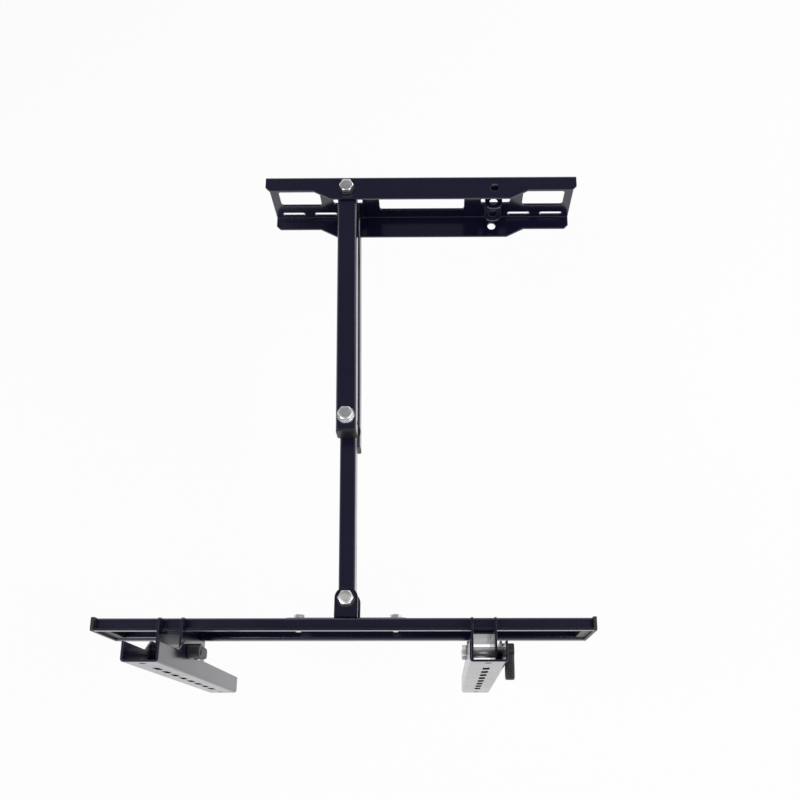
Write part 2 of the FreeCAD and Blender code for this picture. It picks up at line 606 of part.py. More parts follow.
def build_front_arm():
    """The front tube and its flanged bushes at the elbow and at the head."""
    arm_tube("front_tube", ELBOW + ("0",), "front_yaw", "front", "front_wide / 2",
             "front_wide + front_reach", True)
    half = "front_tall / 2"
    for name, pivot, radius in (("elbow", ELBOW, "elbow_flange_radius"),
                                ("head", HEAD_PIVOT, "ear_wide / 2")):
        flanged_bush(name + "_top_bush", pivot + (half,), radius, "elbow_flange", half, True)
        flanged_bush(name + "_under_bush", pivot + ("-" + half,), radius, "elbow_flange", half, False)


def build_head():
    """The yoke, its pin, the rail with its caps, and the two bolts that hold the yoke to the rail."""
    swivel_bracket()
    top = EAR_OUTSIDE + " + washer_thick"
    ring("head_pivot_washer", HEAD_PIVOT + (top,), "washer_radius", "pin_radius + pin_slack",
         "washer_thick")
    hex_bolt("head_pivot_bolt", HEAD_PIVOT + (top,), "hex_across", "hex_tall", "pin_radius",
             "2 * %s + washer_thick + nut_tall + thread_past" % EAR_OUTSIDE)
    ring("head_pivot_nut", HEAD_PIVOT + ("-" + EAR_OUTSIDE,), None, "pin_radius + run_slack", "nut_tall",
         "hex_across")
    head_rail()
    seat = "%s - rail_gap + swivel_sheet" % HEAD_Y
    inside = "%s - rail_gap - rail_sheet" % HEAD_Y
    for hand, side in (("left", "-"), ("right", "+")):
        across = "%s %s rail_bolt_out" % (HEAD_X, side)
        hex_bolt(hand + "_rail_bolt", (across, seat, "0"), "rail_hex_across", "rail_hex_tall",
                 "rail_bolt_radius", "swivel_sheet + rail_sheet + rail_nut_tall + thread_past",
                 (-1, 0, 0), "90")
        ring(hand + "_rail_nut", (across, inside, "0"), None, "rail_bolt_radius + run_slack",
             "rail_nut_tall", "rail_hex_across", (-1, 0, 0), "90")
        rail_cap(hand + "_rail_cap", side)


def build_screen_side(hand, offset, lever_turn):
    """One hanger with its safety screw, tilting bracket, tilt pin, clamp bolt and lever."""
    middle = "%s %s" % (HEAD_X, offset)
    place = (middle, HEAD_Y, "0")
    tilt_adapter(hand + "_tilt_adapter", place)
    safety_screw(hand + "_safety_screw", place)
    screen_bracket(hand + "_screen_bracket", place)
    axis_y = "%s - tilt_out" % HEAD_Y
    left_face, right_face = middle + " - bracket_wide / 2", middle + " + bracket_wide / 2"
    over = "bracket_wide + small_tall + thread_past"
    hex_bolt(hand + "_tilt_bolt", (left_face, axis_y, "0"), "small_across", "small_tall",
             "tilt_pin_radius", over, (0, -1, 0), "90")
    ring(hand + "_tilt_nut", (right_face, axis_y, "0"), None, "tilt_pin_radius + run_slack", "small_tall",
         "small_across", (0, -1, 0), "90")
    gap = "((bracket_wide - adapter_wide) / 2 - bracket_sheet - tilt_washer_gap)"
    for name, start in (("outer", left_face + " + bracket_sheet"),
                        ("inner", right_face + " - bracket_sheet - " + gap)):
        ring("%s_%s_tilt_washer" % (hand, name), (start, axis_y, "0"), "tilt_washer_radius",
             "tilt_pin_radius + run_slack", gap, None, (0, -1, 0), "90")
    hex_bolt(hand + "_lock_bolt", (left_face, axis_y, "lock_rise"), "small_across", "small_tall",
             "lock_radius", "bracket_wide + lever_bore_deep", (0, -1, 0), "90")
    clamp_lever(hand + "_clamp_lever", (right_face + " + lever_gap", axis_y, "lock_rise"), lever_turn)


build_wall()
build_rear_arm()
build_front_arm()
build_head()
build_screen_side("left", "- left_out", "90")
build_screen_side("right", "+ right_out", "0")
doc.recompute()

failed = [item.Label for item in doc.Objects if {"Invalid", "Error"} & set(item.State)]
if failed:
    raise RuntimeError("failed objects: " + ", ".join(failed))
for part in PARTS:
    if part.Shape.isNull() or not part.Shape.isValid():
        raise RuntimeError("bad shape: " + part.Label)
os.makedirs("parts", exist_ok=True)
for part in PARTS:
    part.Shape.exportStep(os.path.join("parts", part.Label + ".step"))
print(len(PARTS), "parts written")
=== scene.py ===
"""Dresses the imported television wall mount: paint, zinc, nylon and moulded plastic, welds and threads,
a pale floor, soft studio light and the camera above the arm."""
import json
import math

import bmesh
import bpy
import numpy as np
from mathutils import Matrix, Vector


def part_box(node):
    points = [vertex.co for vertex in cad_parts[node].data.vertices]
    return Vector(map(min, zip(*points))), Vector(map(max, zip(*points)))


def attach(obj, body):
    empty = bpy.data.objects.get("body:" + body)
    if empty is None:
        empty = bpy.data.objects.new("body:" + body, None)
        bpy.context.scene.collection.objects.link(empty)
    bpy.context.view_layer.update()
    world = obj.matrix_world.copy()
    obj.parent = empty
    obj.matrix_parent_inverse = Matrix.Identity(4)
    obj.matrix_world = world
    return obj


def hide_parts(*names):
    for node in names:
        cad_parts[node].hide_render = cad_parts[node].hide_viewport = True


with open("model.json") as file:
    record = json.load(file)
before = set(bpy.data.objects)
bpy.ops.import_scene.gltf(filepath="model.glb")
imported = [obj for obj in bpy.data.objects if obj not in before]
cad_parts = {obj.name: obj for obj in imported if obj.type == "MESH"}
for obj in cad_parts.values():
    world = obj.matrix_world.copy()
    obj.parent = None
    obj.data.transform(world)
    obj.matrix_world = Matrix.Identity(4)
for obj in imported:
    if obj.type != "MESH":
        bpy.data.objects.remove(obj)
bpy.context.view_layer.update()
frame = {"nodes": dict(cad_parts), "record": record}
MM = 0.001
RIGHT, TO_WALL, UP = np.eye(3)
# Points nearer than this, in metres, are one point: in a grid and after a union
MERGE, JOIN_MERGE = 0.000001, 0.00002
# Faces that meet at more than this, in degrees, keep a sharp edge between them
CREASE = 35
# Points round a turned form, round a knurled one and round a lever's arm
TURN_COLUMNS, KNURL_COLUMNS, ARM_COLUMNS = 96, 144, 64

# Bolts and nuts in millimetres, as in the solids that these skins stand for
BOLT_12, HEX_12, HEAD_12, PITCH_12 = 6, 18.5, 7.5, 1.75
BOLT_8, HEX_8, PITCH_8 = 4, 13, 1.25
RAIL_HEAD, PIN_HEAD = 6.4, 5.5
NUT_SLACK, THREADED = 0.05, 4.5
# A thread's depth as a share of its pitch, and the grid rows in one turn of it
THREAD_DEEP, TURN_ROWS = 0.6, 10
# Rows whose radius is over this share of the width across flats are hexagons; others are round or threads
HEX_ROWS = 0.9
# The chamfer cones of hexagons lean at 30 degrees: this far out for each step along the axis
CHAMFER_OUT = math.sqrt(3)
# Bolt heads: crown and seat as shares of the width, then heights of chamfer, flats' foot and seat
HEAD_CROWN, HEAD_SEAT = 0.475, 0.47
HEAD_CHAMFER, FLATS_FOOT, SEAT_TALL = 1.4, 0.7, 0.6
# A screw's tip: the height of its chamfer, and the share of a bolt's radius that is left at the end
TIP_TALL, TIP_SHARE = 0.6, 0.84
# Lock nuts: chamfer ring and collar as shares of the width, body and lip as shares of the height
NUT_CROWN, NUT_COLLAR, NUT_BODY, NUT_LIP = 0.48, 0.44, 0.68, 0.16
# The nut's chamfer height, and how far its locking ring is set out from the bore and down
NUT_CHAMFER, RING_OUT, RING_EDGE, RING_DEEP = 1.2, 0.9, 0.3, 0.6

# Thumb screws in millimetres: head radius and height, shank radius and pitch, then dish, two chamfers and
# how far from the seat the thread starts
THUMB_HEAD, THUMB_TALL, THUMB_SHANK, THUMB_PITCH = 5.5, 4, 3, 1.0
THUMB_DISH, THUMB_RIM, THUMB_FOOT, THREAD_LIFT = 0.4, 0.8, 0.7, 0.01
# The dish's floor and edge as shares of the head's radius, and the share of the shank left at its tip
DISH_FLOOR, DISH_EDGE, THUMB_TIP = 0.55, 0.62, 0.7
# The knurl's teeth and depth; it is on rows over this share of the radius and this far from the seat
KNURL_TEETH, KNURL_DEEP, KNURL_ROWS, KNURL_FOOT = 36, 0.3, 0.97, 0.5

# Clamp levers in millimetres: the hub, the arm, and the row of grip grooves along it
LEVER_HUB, LEVER_LONG, LEVER_BORE, LEVER_RIM, BORE_SLACK = 9, 16, 12, 1.0, 0.05
HUB_STEP, HUB_DISH = 0.7, 1
ARM_START, LEVER_REACH, LEVER_THICK, LEVER_TIP, TIP_ROUND = 6, 37, 12, 7, 5
GRIP_START, GRIP_END, GRIP_STOP, GRIP_PITCH, GRIP_DEEP, ROW_GAP = 14, 30.8, 31, 2.8, 0.4, 0.2
# Shares of the hub's radius: its dish's edge and floor, and the arm's root
HUB_EDGE, HUB_FLOOR, ARM_ROOT = 0.62, 0.52, 0.9
# The share of the arm's height that is left at its tip
TIP_THICK = 0.75
# The power of cos and sin that gives a superellipse of exponent 5
SQUARENESS = 0.4

# Weld beads: size, ripple spacing and root in millimetres, then flat and swell as shares of the size
WELD_SIZE, WELD_RIPPLE, WELD_ROOT = 2.0, 1.7, 0.2
WELD_FLAT, WELD_SWELL = 0.9, 0.12
# The sine at which a bead's drawn-in ends reach full size, and the share of its length at each end that
# keeps the sine of its inner limit, so that no row shrinks to a point
WELD_FULL, WELD_NEAR = 0.25, 0.0001

# Finishes: how far normals agree where edge wear and painted highlight begin and are full, which patches get
# them, and the grain's span
EDGE_SPAN, PATCH_SPAN, DRIFT_SPAN = (0.999, 0.86), (0.42, 0.66), (0.3, 0.7)

# The floor in metres: height, half its width, and where its fade to white begins and ends
FLOOR_LEVEL, FLOOR_HALF, FADE_START, FADE_END = -0.62, 40, 1.5, 9.0
FLOOR_CHALK = (0.93, 0.93, 0.94, 1)
# The share of the floor that glows near the mount and far from it
GLOW_NEAR, GLOW_FAR = 0.86, 1.0
# The sky's strength to the eye, on matt surfaces, and in reflections at the horizon and overhead
SKY_SEEN, SKY_LIGHT, SKY_HORIZON, SKY_OVERHEAD = 1.0, 0.55, 1.0, 0.16
# How far up a direction points where reflections of the sky begin to dim and are dimmest
DIM_START, DIM_END = 0.25, 0.65
# Soft lamps: side in metres and aim, then each one's place and power in watts
LAMP_SIDE, LAMP_AIM = 1.2, (-0.1, -0.4, 0)
LAMPS = {
    "window_left": ((-1.3, -1.3, 2.0), 20),
    "window_right": ((1.3, -0.9, 2.0), 20),
    "window_wall": ((1.5, 1.4, 1.0), 10),
}
# The camera: place in metres and turns in degrees; frame and focal length in pixels, sensor in millimetres;
# lens shift as shares of the frame, and clip range in metres
EYE_PLACE, EYE_TILT, EYE_YAW = (0.027, -0.850, 1.250), 17.39, -0.5
FRAME_PIXELS, FOCAL_PIXELS, SENSOR = 800, 935.8, 36
LENS_SHIFT, CLIP_NEAR, CLIP_FAR = (-0.04, 0.1), 0.05, 100

BODY_OF = {node: body for body, nodes in frame["record"]["behaviour"]["bodies"].items() for node in nodes}


def add_node(tree, kind, place, **settings):
    """A shader node of a kind at a place on the node canvas, with its settings and inputs filled in."""
    made = tree.nodes.new(kind)
    made.location = place
    for name, setting in settings.items():
        if name in made.inputs:
            made.inputs[name].default_value = setting
        else:
            setattr(made, name, setting)
    return made


def range_node(tree, place, source, target):
    """A Map Range node that carries values from a source span (least, most) to a target span."""
    made = add_node(tree, "ShaderNodeMapRange", place)
    made.inputs["From Min"].default_value, made.inputs["From Max"].default_value = source
    made.inputs["To Min"].default_value, made.inputs["To Max"].default_value = target
    return made


def effect_group(name, inputs, outputs):
    """An empty node group with named float inputs (name, value) and named outputs (name, socket kind)."""
    group = bpy.data.node_groups.new(name, "ShaderNodeTree")
    for label, start in inputs:
        socket = group.interface.new_socket(label, in_out="INPUT", socket_type="NodeSocketFloat")
        socket.default_value = start
    for label, kind in outputs:
        group.interface.new_socket(label, in_out="OUTPUT", socket_type=kind)
    source = add_node(group, "NodeGroupInput", (-900, 0))
    sink = add_node(group, "NodeGroupOutput", (900, 0))
    return group, source, sink


def surface_grain():
    """Fine and broad unevenness on Object coordinates: Height for bump, Broad for colour and gloss drift."""
    group, source, sink = effect_group(
        "surface_grain", [("Fine Scale", 900), ("Broad Scale", 14), ("Broad Mix", 0.3)],
        [("Height", "NodeSocketFloat"), ("Broad", "NodeSocketFloat")])
    link = group.links.new
    place = add_node(group, "ShaderNodeTexCoord", (-900, 300))
    fine = add_node(group, "ShaderNodeTexNoise", (-500, 300), Detail=2.0, Roughness=0.55)
    broad = add_node(group, "ShaderNodeTexNoise", (-500, 0), Detail=3.0, Roughness=0.6)
    both = add_node(group, "ShaderNodeMix", (0, 200), data_type="FLOAT")
    link(place.outputs["Object"], fine.inputs["Vector"])
    link(place.outputs["Object"], broad.inputs["Vector"])
    link(source.outputs["Fine Scale"], fine.inputs["Scale"])
    link(source.outputs["Broad Scale"], broad.inputs["Scale"])
    link(source.outputs["Broad Mix"], both.inputs["Factor"])
    link(fine.outputs["Fac"], both.inputs["A"])
    link(broad.outputs["Fac"], both.inputs["B"])
    link(both.outputs["Result"], sink.inputs["Height"])
    link(broad.outputs["Fac"], sink.inputs["Broad"])
    return group


# The mask lightens edges: partly wear, partly a painted highlight that stands for reflections along rounded
# edges
def edge_wear_and_highlight():
    """Rounded-edge normal and a mask of wear and painted highlight: it grows where the rounded normal leaves
    the face's own.
    """
    group, source, sink = effect_group(
        "edge_wear_and_highlight", [("Radius", 0.0008), ("Patch Scale", 60), ("Amount", 0.5)],
        [("Wear And Highlight", "NodeSocketFloat"), ("Normal", "NodeSocketVector")])
    link = group.links.new
    place = add_node(group, "ShaderNodeTexCoord", (-900, -300))
    flat = add_node(group, "ShaderNodeNewGeometry", (-600, 200))
    rounded = add_node(group, "ShaderNodeBevel", (-600, 0), samples=6)
    agree = add_node(group, "ShaderNodeVectorMath", (-300, 150), operation="DOT_PRODUCT")
    lean = range_node(group, (-100, 150), EDGE_SPAN, (0, 1))
    patches = add_node(group, "ShaderNodeTexNoise", (-500, -300), Detail=4.0, Roughness=0.65)
    picked = range_node(group, (-200, -300), PATCH_SPAN, (0, 1))
    worn_and_highlit = add_node(group, "ShaderNodeMath", (150, 0), operation="MULTIPLY")
    scaled = add_node(group, "ShaderNodeMath", (400, 0), operation="MULTIPLY", use_clamp=True)
    link(source.outputs["Radius"], rounded.inputs["Radius"])
    link(rounded.outputs["Normal"], agree.inputs[0])
    link(flat.outputs["Normal"], agree.inputs[1])
    link(agree.outputs["Value"], lean.inputs["Value"])
    link(place.outputs["Object"], patches.inputs["Vector"])
    link(source.outputs["Patch Scale"], patches.inputs["Scale"])
    link(patches.outputs["Fac"], picked.inputs["Value"])
    link(lean.outputs["Result"], worn_and_highlit.inputs[0])
    link(picked.outputs["Result"], worn_and_highlit.inputs[1])
    link(worn_and_highlit.outputs["Value"], scaled.inputs[0])
    link(source.outputs["Amount"], scaled.inputs[1])
    link(scaled.outputs["Value"], sink.inputs["Wear And Highlight"])
    link(rounded.outputs["Normal"], sink.inputs["Normal"])
    return group


GRAIN = surface_grain()
WEAR_AND_HIGHLIGHT = edge_wear_and_highlight()


def finish_material(name, low, high, worn_and_highlit, roughness, grain, wear_and_highlight, bump, **shader):
    """A finish whose colour drifts from low to high with the broad grain and, at edges, turns to a lighter
    colour that is partly wear and partly painted highlight.

    roughness is (least, most) over the same drift; grain fills the grain group's inputs and the edge
    settings those of the wear and painted-highlight group; bump is the bump's height in metres; the rest
    goes onto the shader's own sockets.
    """
    made = bpy.data.materials.new(name)
    made.use_nodes = True
    tree = made.node_tree
    tree.nodes.clear()
    link = tree.links.new
    out = add_node(tree, "ShaderNodeOutputMaterial", (700, 0))
    skin = add_node(tree, "ShaderNodeBsdfPrincipled", (400, 0))
    for socket, setting in shader.items():
        skin.inputs[socket.replace("_", " ")].default_value = setting
    texture = add_node(tree, "ShaderNodeGroup", (-700, 100), node_tree=GRAIN)
    edges = add_node(tree, "ShaderNodeGroup", (-700, -200), node_tree=WEAR_AND_HIGHLIGHT)
    for node, settings in ((texture, grain), (edges, wear_and_highlight)):
        for socket, setting in settings.items():
            node.inputs[socket].default_value = setting
    drift = add_node(tree, "ShaderNodeMix", (-350, 200), data_type="RGBA")
    drift.inputs["A"].default_value = (*low, 1)
    drift.inputs["B"].default_value = (*high, 1)
    # Mixes toward the lighter edge colour: partly wear, partly a painted highlight along rounded edges
    wear_and_highlight_tint = add_node(tree, "ShaderNodeMix", (-50, 200), data_type="RGBA")
    wear_and_highlight_tint.inputs["B"].default_value = (*worn_and_highlit, 1)
    gloss = range_node(tree, (-350, -50), DRIFT_SPAN, roughness)
    relief = add_node(tree, "ShaderNodeBump", (-50, -250), Strength=1.0, Distance=bump)
    link(texture.outputs["Broad"], drift.inputs["Factor"])
    link(drift.outputs["Result"], wear_and_highlight_tint.inputs["A"])
    link(edges.outputs["Wear And Highlight"], wear_and_highlight_tint.inputs["Factor"])
    link(wear_and_highlight_tint.outputs["Result"], skin.inputs["Base Color"])
    link(texture.outputs["Broad"], gloss.inputs["Value"])
    link(gloss.outputs["Result"], skin.inputs["Roughness"])
    link(texture.outputs["Height"], relief.inputs["Height"])
    link(edges.outputs["Normal"], relief.inputs["Normal"])
    link(relief.outputs["Normal"], skin.inputs["Normal"])
    link(skin.outputs["BSDF"], out.inputs["Surface"])
    return made


ZINC_GRAIN = {"Fine Scale": 1500, "Broad Scale": 90, "Broad Mix": 0.4}
# Edge settings for zinc: the lighter edges are partly wear and partly a painted highlight
ZINC_WEAR_AND_HIGHLIGHT = {"Radius": 0.0006, "Patch Scale": 200, "Amount": 0.6}
# In each finish the lighter edge colour is partly wear and partly a painted highlight along rounded edges
FINISHES = {
    "satin_black_paint": finish_material(
        "satin_black_paint", low=(0.003, 0.003, 0.015), high=(0.006, 0.006, 0.023), worn_and_highlit=(0.05, 0.05, 0.07),
        roughness=(0.13, 0.21), grain={"Fine Scale": 700, "Broad Scale": 12, "Broad Mix": 0.2},
        wear_and_highlight={"Radius": 0.0011, "Patch Scale": 45, "Amount": 0.5}, bump=0.00004,
        Specular_IOR_Level=0.8, Specular_Tint=(0.88, 0.88, 1.0, 1)),
    "zinc_plate": finish_material(
        "zinc_plate", low=(0.84, 0.85, 0.87), high=(0.90, 0.90, 0.91), worn_and_highlit=(0.94, 0.94, 0.94),
        roughness=(0.34, 0.44), grain=ZINC_GRAIN, wear_and_highlight=ZINC_WEAR_AND_HIGHLIGHT, bump=0.00002, Metallic=1.0),
    "dark_zinc_plate": finish_material(
        "dark_zinc_plate", low=(0.05, 0.05, 0.06), high=(0.08, 0.08, 0.09), worn_and_highlit=(0.24, 0.24, 0.25),
        roughness=(0.36, 0.46), grain=ZINC_GRAIN, wear_and_highlight=ZINC_WEAR_AND_HIGHLIGHT, bump=0.00002, Metallic=1.0),
    "black_nylon": finish_material(
        "black_nylon", low=(0.014, 0.014, 0.016), high=(0.022, 0.022, 0.024), worn_and_highlit=(0.05, 0.05, 0.052),
        roughness=(0.45, 0.6), grain={"Fine Scale": 1800, "Broad Scale": 60, "Broad Mix": 0.3},
        wear_and_highlight={"Radius": 0.0004, "Patch Scale": 120, "Amount": 0.3}, bump=0.00003),
    "black_plastic": finish_material(
        "black_plastic", low=(0.010, 0.010, 0.013), high=(0.017, 0.017, 0.020), worn_and_highlit=(0.06, 0.06, 0.065),
        roughness=(0.38, 0.52), grain={"Fine Scale": 1300, "Broad Scale": 40, "Broad Mix": 0.15},
        wear_and_highlight={"Radius": 0.0009, "Patch Scale": 80, "Amount": 0.4}, bump=0.00006),
}

# The zinc on these two washers is passivated black; all other nodes wear their own slot's finish
DARK_WASHERS = ("wall_pivot_washer", "head_pivot_washer")
for part in frame["record"]["subparts"]:
    coats = frame["nodes"][part["node"]].data.materials
    coats.clear()
    coats.append(FINISHES["dark_zinc_plate" if part["node"] in DARK_WASHERS else part["material_slot"]])


def close_shell(mesh, gap):
    """Merges points within a gap, turns faces outwards and shades smooth up to the crease angle."""
    shell = bmesh.new()
    shell.from_mesh(mesh)
    bmesh.ops.remove_doubles(shell, verts=shell.verts, dist=gap)
    bmesh.ops.dissolve_degenerate(shell, edges=shell.edges, dist=gap)
    bmesh.ops.recalc_face_normals(shell, faces=shell.faces)
    if shell.calc_volume(signed=True) < 0:
        bmesh.ops.reverse_faces(shell, faces=shell.faces)
    shell.to_mesh(mesh)
    shell.free()
    mesh.shade_smooth()
    mesh.set_sharp_from_angle(angle=math.radians(CREASE))


def grid_mesh(name, sheets):
    """One closed mesh from grids of points, merged at seams and poles, with its faces pointing outwards.

    Each sheet is (points, rows closed): points has shape (rows, columns, 3), its columns always close on
    themselves, and its rows close too where the section is a ring. Quad (i, j) joins rows i and i + 1 at
    columns j and j + 1.
    """
    places, faces, start = [], [], 0
    for points, ring in sheets:
        height, width = points.shape[:2]
        i, j = np.meshgrid(np.arange(height if ring else height - 1), np.arange(width), indexing="ij")
        up, across = (i + 1) % height, (j + 1) % width
        corners = [i * width + j, i * width + across, up * width + across, up * width + j]
        places.append(points.reshape(-1, 3))
        faces.append(np.stack(corners, -1).reshape(-1, 4) + start)
        start += height * width
    mesh = bpy.data.meshes.new(name)
    mesh.from_pydata(np.concatenate(places).tolist(), [], np.concatenate(faces).tolist())
    close_shell(mesh, MERGE)
    return mesh


def skin_mesh(name, sheets, body, node, slot):
    """A piece of grid surfaces in a slot's finish, riding on a body and standing for a node.

    Where node is None the piece stands beside the solids instead of for one of them.
    """
    mesh = grid_mesh(name, sheets)
    mesh.materials.append(FINISHES[slot])
    piece = bpy.data.objects.new(name, mesh)
    bpy.context.scene.collection.objects.link(piece)
    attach(piece, body)
    if node:
        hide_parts(node)
    return piece


def turned(profile, section, seat, axis, first, columns=TURN_COLUMNS):
    """A turned form: P(i, t) = seat + z_i axis + r_i(t) (cos t first + sin t second), second = axis x first.

    profile is an array of rows (r, z); section(r, z, t) gives the radius at angle t, so that a row can be
    round, a hexagon or a thread.
    """
    axis, first = np.array(axis, float), np.array(first, float)
    second = np.cross(axis, first)
    t = np.arange(columns) * 2 * np.pi / columns
    r, z = profile[:, :1], profile[:, 1:2]
    radius = section(r, z, t)
    ray = np.cos(t)[:, None] * first + np.sin(t)[:, None] * second
    return np.array(seat) + z[..., None] * axis + radius[..., None] * ray


def rows(*points):
    """Profile rows from points (r, z) in millimetres."""
    return np.array(points, float) * MM


def arc_rows(centre, radius, start, end, count=6):
    """Profile rows along an arc: (r, z) = centre + radius (cos a, sin a), a from start to end in degrees."""
    a = np.radians(np.linspace(start, end, count))
    return (np.array(centre) + radius * np.stack([np.cos(a), np.sin(a)], -1)) * MM


def straight_rows(start, end, count):
    """Profile rows evenly spaced along a straight line from start to end, in millimetres."""
    return np.linspace(start, end, count) * MM


def hexagon_radius(t, across):
    """The radius of a hexagon with a corner at t = 0: half its flats over cos of the angle off the flat."""
    return across / 2 / np.cos(t % (np.pi / 3) - np.pi / 6)


def helix_wave(z, t, pitch):
    """A triangle wave between 0 and 1 along a helix: |2 frac(z / pitch - t / 2 pi) - 1|."""
    return np.abs(2 * ((z / (pitch * MM) - t / (2 * np.pi)) % 1) - 1)


def bolt_skin(seat, axis, first, across, tall, radius, grip, pitch):
    """A hexagon bolt as one surface, from the head's crown down over the shank to the threaded end.

    In the head the radius is min(hexagon, chamfer cone), the cone being crown + (tall - z) / tan 30 deg.
    In the last threaded millimetres it is radius - depth w, where w is the wave along a helix, and the
    depth grows from 0 to its share of the pitch over the first turn.
    """
    crown, seat_ring = across * HEAD_CROWN, across * HEAD_SEAT
    thread_top = THREADED - grip
    profile = np.concatenate([
        rows((0, tall), (crown * 0.5, tall), (crown, tall)),
        straight_rows((across, tall), (across, tall - HEAD_CHAMFER), 8),
        rows((across, FLATS_FOOT), (seat_ring, SEAT_TALL), (seat_ring, 0), (radius, 0)),
        straight_rows((radius, -1), (radius, thread_top), 3),
        straight_rows((radius, thread_top), (radius, TIP_TALL - grip), int(THREADED / pitch * TURN_ROWS)),
        rows((radius * TIP_SHARE, -grip), (0, -grip)),
    ])

    def section(r, z, t):
        cone = crown * MM + (tall * MM - z) * CHAMFER_OUT
        hexed = np.minimum(hexagon_radius(t, across * MM), cone)
        run_in = np.clip((thread_top * MM - z) / (pitch * MM), 0, 1)
        deep = THREAD_DEEP * pitch * MM * helix_wave(z, t, pitch) * run_in
        cut = np.where(z < thread_top * MM, deep, 0)
        plain = np.broadcast_to(r, (len(r), len(t)))
        threads = np.minimum(plain, radius * MM - cut)
        return np.where(r > across * HEX_ROWS * MM, hexed, np.where(z < 0, threads, plain))

    return turned(profile, section, seat, axis, first)


def nut_skin(seat, axis, first, across, tall, bore):
    """A lock nut as one ring: hexagon body, chamfered at both ends, and a domed collar.

    The body's radius is min(hexagon, both chamfer cones); the collar is round and closes with an arc.
    """
    body, lip = tall * NUT_BODY, tall * NUT_LIP
    crown, collar = across * NUT_CROWN, across * NUT_COLLAR
    inset = tall - RING_DEEP
    profile = np.concatenate([
        rows((bore, 0), (crown, 0)),
        straight_rows((across, 0), (across, NUT_CHAMFER), 7),
        straight_rows((across, body - NUT_CHAMFER), (across, body), 7),
        rows((collar, body), (collar, tall - lip)),
        arc_rows((collar - lip, tall - lip), lip, 10, 90),
        rows((bore + RING_OUT, tall), (bore + RING_EDGE, inset), (bore, inset)),
    ])

    def section(r, z, t):
        lower = crown * MM + z * CHAMFER_OUT
        upper = crown * MM + (body * MM - z) * CHAMFER_OUT
        hexed = np.minimum(hexagon_radius(t, across * MM), np.minimum(lower, upper))
        return np.where(r > across * HEX_ROWS * MM, hexed, np.broadcast_to(r, (len(r), len(t))))

    return turned(profile, section, seat, axis, first)


def thumb_screw_skin(seat, axis, first, rise):
    """A thumb screw: a dished head and a shank that is threaded by the wave along a helix up to its tip.

    The head's rim is knurled: its radius there is r + KNURL_DEEP (cos(KNURL_TEETH t) - 1) / 2.
    """
    head, tall, radius = THUMB_HEAD, THUMB_TALL, THUMB_SHANK
    dish = THUMB_DISH - tall
    profile = np.concatenate([
        rows((0, dish), (head * DISH_FLOOR, dish), (head * DISH_EDGE, -tall)),
        straight_rows((head - THUMB_RIM, -tall), (head, THUMB_RIM - tall), 3),
        straight_rows((head, 1 - tall), (head, -THUMB_RIM), 4),
        rows((head - THUMB_FOOT, 0), (radius, 0)),
        straight_rows((radius, THREAD_LIFT), (radius, rise - TIP_TALL), int(rise / THUMB_PITCH * TURN_ROWS)),
        rows((radius * THUMB_TIP, rise), (0, rise)),
    ])

    def section(r, z, t):
        on_rim = (z < -KNURL_FOOT * MM) & (r > head * KNURL_ROWS * MM)
        knurl = np.where(on_rim, KNURL_DEEP * MM * (np.cos(KNURL_TEETH * t) - 1) / 2, 0)
        deep = THREAD_DEEP * THUMB_PITCH * MM * helix_wave(z, t, THUMB_PITCH)
        cut = np.where(z > THREAD_LIFT / 2 * MM, deep, 0)
        return np.minimum(r + knurl, np.where(z > 0, radius * MM - cut, np.inf))

    return turned(profile, section, seat, axis, first, columns=KNURL_COLUMNS)


def lever_hub(seat, axis, first):
    """A lever's hub turned about the clamp bolt: a blind bore, rounded rims and a dished outer face."""
    bore = BOLT_8 + BORE_SLACK
    profile = np.concatenate([
        rows((0, LEVER_BORE), (bore, LEVER_BORE), (bore, 0)),
        arc_rows((LEVER_HUB - LEVER_RIM, LEVER_RIM), LEVER_RIM, -90, 0),
        arc_rows((LEVER_HUB - LEVER_RIM, LEVER_LONG - LEVER_RIM), LEVER_RIM, 0, 90),
        rows((LEVER_HUB * HUB_EDGE, LEVER_LONG), (LEVER_HUB * HUB_FLOOR, LEVER_LONG - HUB_STEP)),
        rows((0, LEVER_LONG - HUB_DISH)),
    ])
    return turned(profile, lambda r, z, t: np.broadcast_to(r, (len(r), len(t))), seat, axis, first)


